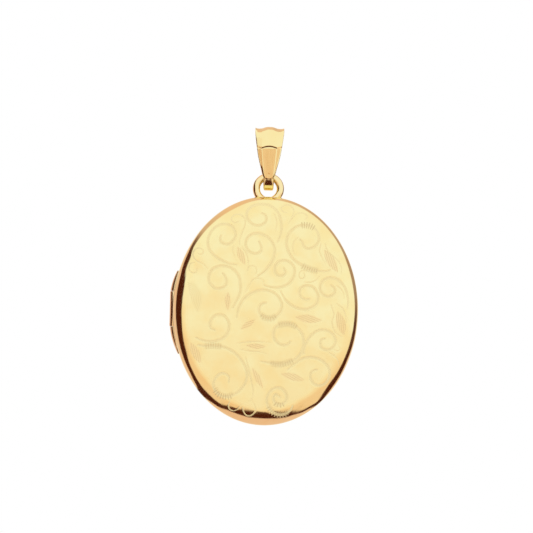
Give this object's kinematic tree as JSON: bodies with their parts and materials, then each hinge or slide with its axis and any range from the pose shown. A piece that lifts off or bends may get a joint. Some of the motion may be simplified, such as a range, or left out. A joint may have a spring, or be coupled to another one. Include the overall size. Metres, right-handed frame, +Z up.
{
  "type": "locket",
  "caption": "Oval hinged locket with an engraved scrollwork front, a ring at the top and a folded tapered bail; the cover opens on framed photo recesses.",
  "frame": {"origin": "centre of the bail's rolled top, on the axis along which the chain passes", "axes": "+Z up, -Y out of the engraved front, +X along the chain and to the viewer's right, away from the hinge"},
  "size_m": [0.0326, 0.0068, 0.0517],
  "materials": {
    "engraved_gold": "polished, engraved",
    "polished_gold": "polished",
    "bail_gold": "polished",
    "hinge_gold": "satin",
    "inner_gold": "satin",
    "pin_steel": "drawn wire",
    "window_plastic": "clear gloss",
    "photo_card": "matte card"
  },
  "bodies": {
    "bail": {"bail_band": "bail_gold", "bail_loop": "bail_gold"},
    "case_back": {"back_shell": "polished_gold", "back_bezel": "inner_gold", "back_photo_card": "photo_card", "back_window": "window_plastic", "back_photo_frame": "polished_gold", "hinge_knuckle_upper": "hinge_gold", "hinge_knuckle_lower": "hinge_gold", "hinge_pin": "pin_steel", "hinge_plug_upper": "hinge_gold", "hinge_plug_lower": "hinge_gold", "catch_bead": "inner_gold", "case_ring": "polished_gold"},
    "case_front": {"front_shell": "engraved_gold", "front_bezel": "inner_gold", "front_photo_card": "photo_card", "front_window": "window_plastic", "front_photo_frame": "polished_gold", "hinge_knuckle_middle": "hinge_gold"}
  },
  "joints": [
    {"name": "ring_swing", "type": "hinge", "parent": "bail", "child": "case_back", "pos_m": [0, 0, -0.0066], "axis": [1, 0, 0], "range_deg": [-100, 100]},
    {"name": "cover_hinge", "type": "hinge", "parent": "case_back", "child": "case_front", "pos_m": [-0.01565, -0.00074, -0.02983], "axis": [0, 0, -1], "range_deg": [0, 135]}
  ]
}
